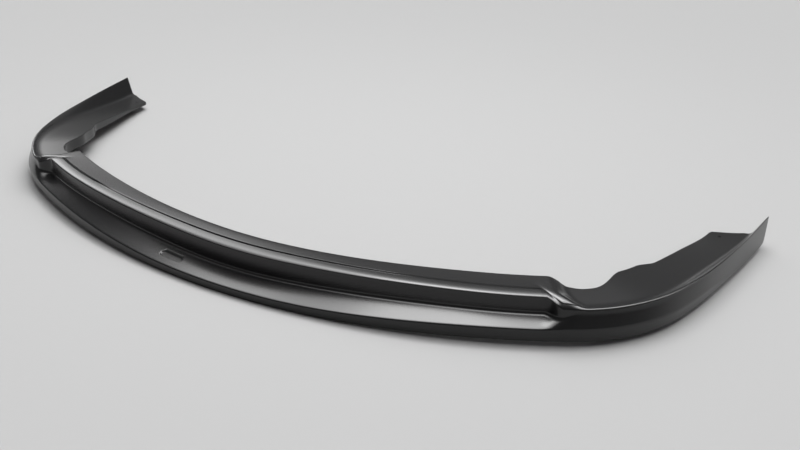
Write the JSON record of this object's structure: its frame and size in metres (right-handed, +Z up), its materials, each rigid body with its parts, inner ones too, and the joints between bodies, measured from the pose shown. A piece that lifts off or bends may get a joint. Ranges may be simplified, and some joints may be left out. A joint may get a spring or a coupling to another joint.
{
  "type": "front splitter lip",
  "caption": "Wide curved add-on lip for the lower edge of a car's front bumper, with a mounting flange and two swept-back arms.",
  "frame": {"origin": "on the car's middle plane, at the height of the lowest edge, half way along the lip's depth", "axes": "+Z up, +X to the side, the nose of the lip points to -Y and the arms run back to +Y"},
  "size_m": [1.6494, 0.6931, 0.0762],
  "materials": {
    "satin_black_plastic": "satin"
  },
  "bodies": {
    "root": {"splitter_lip": "satin_black_plastic"}
  },
  "joints": []
}
